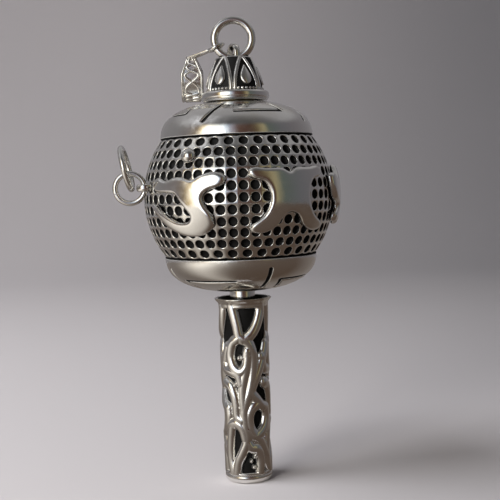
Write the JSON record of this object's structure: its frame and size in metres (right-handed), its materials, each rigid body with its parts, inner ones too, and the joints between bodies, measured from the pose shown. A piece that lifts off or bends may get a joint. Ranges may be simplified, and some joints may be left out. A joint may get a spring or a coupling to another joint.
{
  "type": "prayer wheel",
  "caption": "Pendant-size hand prayer wheel in oxidised silver: a barrel drum with raised ornament turns on a spindle above an openwork handle, with a crown, rings and a hanging bail.",
  "frame": {"origin": "centre of the handle's flat foot, on the spindle axis", "axes": "+Z along the spindle from the handle's foot to the crown; the front is -Y; +X to the right seen from the front"},
  "size_m": [0.0289, 0.026, 0.0602],
  "materials": {
    "silver": "polished antique silver with black oxide in the recesses",
    "blackened_silver": "black oxide",
    "brass": "turned",
    "paper": "rolled paper, matt",
    "thread": "cotton tape, matt"
  },
  "bodies": {
    "handle": {"handle_end_cap": "silver", "handle_sleeve": "silver", "handle_core": "blackened_silver", "spindle": "silver", "thrust_collar": "silver", "top_washer": "brass", "crown_collar": "silver", "crown": "silver", "crown_eye": "silver"},
    "drum": {"drum_shell": "silver", "upper_dome": "silver", "lower_dome": "silver", "lower_bush": "brass", "upper_bush": "brass", "scroll_tube": "brass", "prayer_scroll": "paper", "scroll_tie_lower": "thread", "scroll_tie_upper": "thread", "relief_plate_1": "silver", "relief_plate_2": "silver", "relief_plate_3": "silver", "relief_plate_4": "silver", "relief_plate_5": "silver", "bead_stud": "silver", "side_lug": "silver"},
    "inner_ring": {"side_ring_inner": "silver"},
    "outer_ring": {"side_ring_outer": "silver"},
    "top_ring": {"top_ring": "silver"},
    "bail": {"bail": "silver"}
  },
  "joints": [
    {"name": "drum_spin", "type": "hinge", "parent": "handle", "child": "drum", "pos_m": [0, 0, 0.03716], "axis": [0, 0, 1], "continuous": true},
    {"name": "side_ring_swing", "type": "hinge", "parent": "drum", "child": "inner_ring", "pos_m": [-0.01161, -0.00517, 0.03866], "axis": [0, 0, 1], "range_deg": [-25, 55]},
    {"name": "outer_ring_swing", "type": "hinge", "parent": "inner_ring", "child": "outer_ring", "pos_m": [-0.01381, -0.00517, 0.04051], "axis": [1, 0, 0], "range_deg": [-100, 100]},
    {"name": "top_ring_swing", "type": "hinge", "parent": "handle", "child": "top_ring", "pos_m": [0, 0, 0.05494], "axis": [1, 0, 0], "range_deg": [-3, 45]},
    {"name": "bail_swing", "type": "hinge", "parent": "top_ring", "child": "bail", "pos_m": [-0.00218, 0, 0.05633], "axis": [-0.4226, 0, 0.9063], "range_deg": [-70, 5]}
  ]
}
